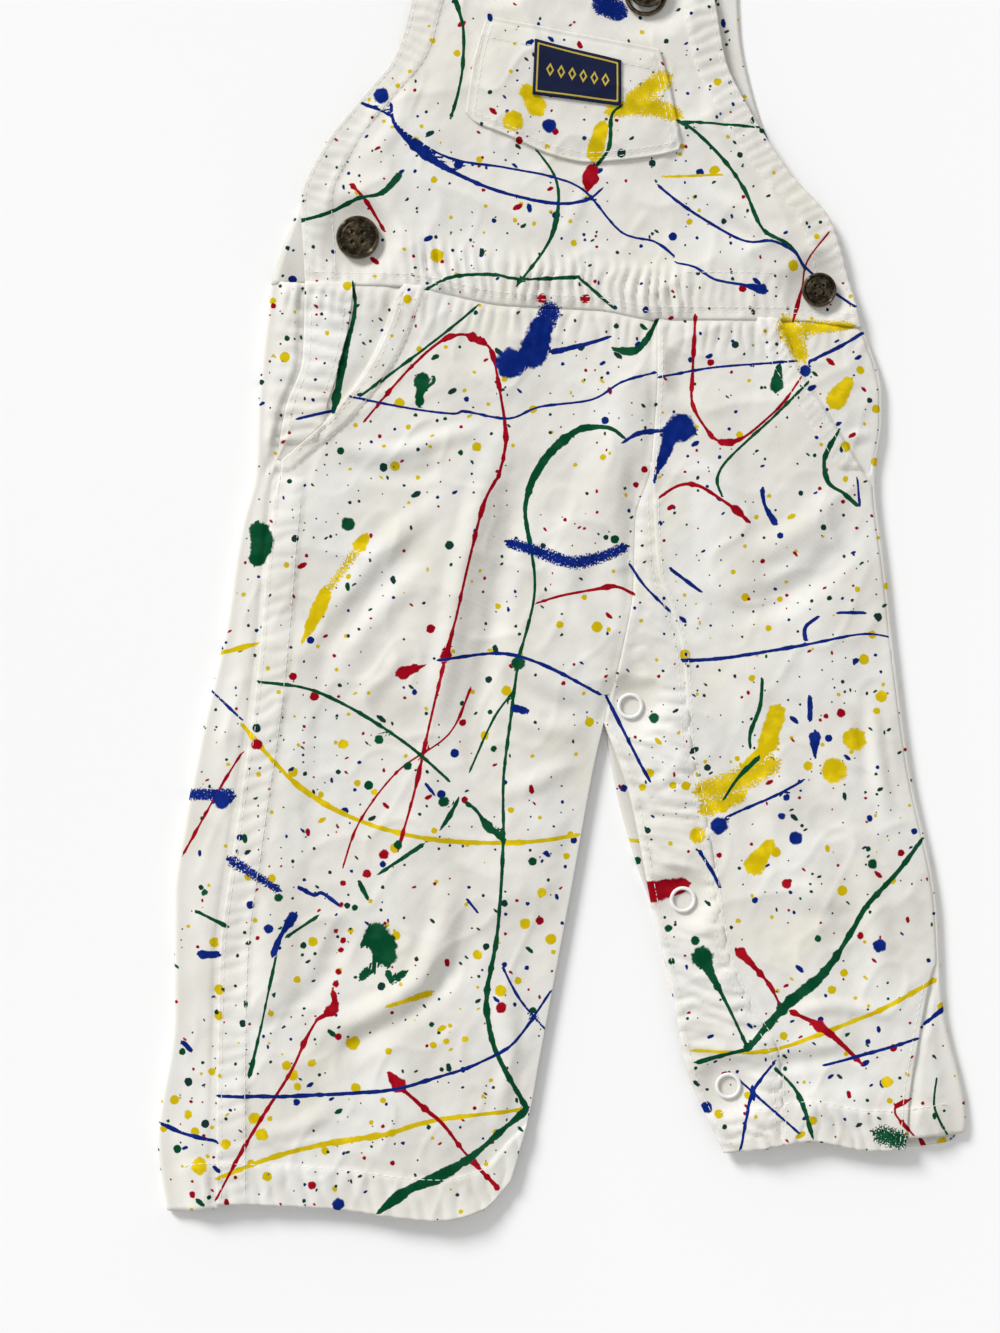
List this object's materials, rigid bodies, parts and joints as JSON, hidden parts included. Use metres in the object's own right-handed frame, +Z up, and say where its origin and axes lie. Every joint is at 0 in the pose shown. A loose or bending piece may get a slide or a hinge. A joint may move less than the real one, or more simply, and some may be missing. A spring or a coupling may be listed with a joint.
{
  "type": "paint spattered bib overalls",
  "caption": "Toddler's bib overalls in white cotton twill printed with paint splashes, laid flat, with buckled straps, a bib pocket and a snap inseam.",
  "frame": {"origin": "under the middle of the garment, on the surface that it lies on", "axes": "+X towards the wearer's left, +Y from the hems to the straps, +Z up out of the front"},
  "size_m": [0.3382, 0.599, 0.0084],
  "materials": {
    "printed_twill": "white cotton twill with a printed paint splatter",
    "woven_label": "plain woven navy label",
    "antique_bronze": "dark antique bronze, worn on the rims",
    "snap_enamel": "white enamelled ring"
  },
  "bodies": {
    "root": {"bib_front": "printed_twill", "bib_pocket": "printed_twill", "front_leg_R": "printed_twill", "front_leg_L": "printed_twill", "hip_piece_R": "printed_twill", "hip_piece_L": "printed_twill", "side_placket_R": "printed_twill", "inseam_placket_front_L": "printed_twill", "inseam_placket_back_L": "printed_twill", "back_leg_R": "printed_twill", "back_leg_L": "printed_twill", "back_bib": "printed_twill", "strap_R": "printed_twill", "strap_L": "printed_twill", "chest_label": "woven_label", "buckle_R": "antique_bronze", "buckle_L": "antique_bronze", "bib_button_R": "antique_bronze", "bib_button_L": "antique_bronze", "side_button_R": "antique_bronze", "side_button_L": "antique_bronze", "ring_snap_1": "snap_enamel", "ring_snap_2": "snap_enamel", "ring_snap_3": "snap_enamel"}
  },
  "joints": []
}
